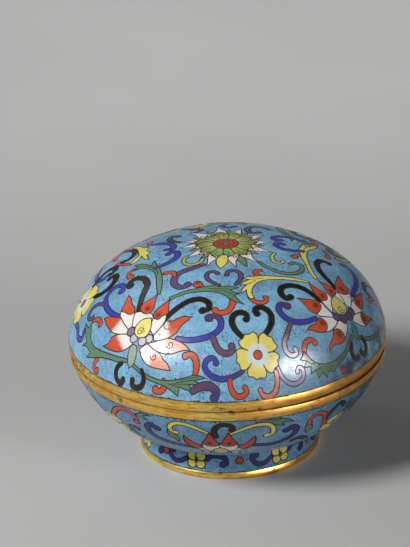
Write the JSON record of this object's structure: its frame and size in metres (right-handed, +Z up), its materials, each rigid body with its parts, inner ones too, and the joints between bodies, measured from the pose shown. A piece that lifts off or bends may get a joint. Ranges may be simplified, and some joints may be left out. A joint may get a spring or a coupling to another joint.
{
  "type": "lidded cloisonne enamel box",
  "caption": "Round domed box on a foot ring, hollow, with a loose lift-off lid, floral scroll enamel in wire cells and gilt rims, for small keepsakes.",
  "frame": {"origin": "centre of the foot's underside, where the box stands", "axes": "+Z up through the crown of the lid; -Y is the front that shows the two large blossoms; +X to the right of it"},
  "size_m": [0.12, 0.12, 0.0804],
  "materials": {
    "enamel": "gloss",
    "gilt": "satin"
  },
  "bodies": {
    "root": {"lid_dome": "enamel", "lid_rim": "gilt", "bowl": "enamel", "bowl_rim": "gilt", "foot_ring": "enamel", "foot_edge": "gilt"}
  },
  "joints": []
}
